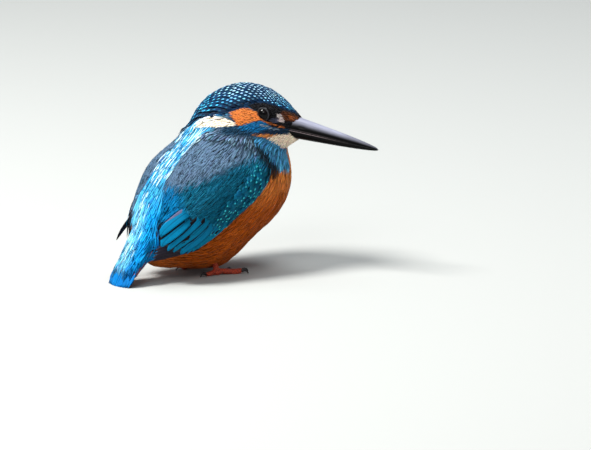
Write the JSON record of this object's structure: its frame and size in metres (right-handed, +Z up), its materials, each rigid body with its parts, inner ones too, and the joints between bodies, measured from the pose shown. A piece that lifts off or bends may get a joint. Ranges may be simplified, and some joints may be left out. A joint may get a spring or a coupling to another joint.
{
  "type": "common kingfisher figure",
  "caption": "Still, life-size kingfisher standing at rest with its head turned to its right: blue back, orange underparts and a long dagger bill.",
  "frame": {"origin": "middle of the bounding box, on the floor the bird rests on", "axes": "+X the way the body faces, +Y the bird's left, +Z up"},
  "size_m": [0.0994, 0.0818, 0.0812],
  "materials": {
    "crown_plumage": "dark blue feathers with pale blue spots, soft satin",
    "body_plumage": "orange-rufous feathers below, bright azure along the back, soft satin",
    "wing_plumage": "teal feathers with small pale blue spots, soft satin",
    "flight_feathers": "teal and dark brown flight feathers, satin",
    "tail_plumage": "bright azure feathers, silky",
    "bill": "black horn, glossy with a dull grey ridge",
    "eye": "wet dark brown, almost black",
    "leg_skin": "coral red scaly skin",
    "claw": "dark brown horn"
  },
  "bodies": {
    "root": {"head": "crown_plumage", "neck": "crown_plumage", "trunk": "body_plumage", "tail": "tail_plumage", "bill_upper": "bill", "bill_lower": "bill", "eye_right": "eye", "wing_right": "wing_plumage", "secondaries_right": "flight_feathers", "primaries_right": "flight_feathers", "leg_right": "leg_skin", "claw_inner_right": "claw", "claw_middle_right": "claw", "claw_outer_right": "claw", "claw_hind_right": "claw", "eye_left": "eye", "wing_left": "wing_plumage", "secondaries_left": "flight_feathers", "primaries_left": "flight_feathers", "leg_left": "leg_skin", "claw_inner_left": "claw", "claw_middle_left": "claw", "claw_outer_left": "claw", "claw_hind_left": "claw"}
  },
  "joints": []
}
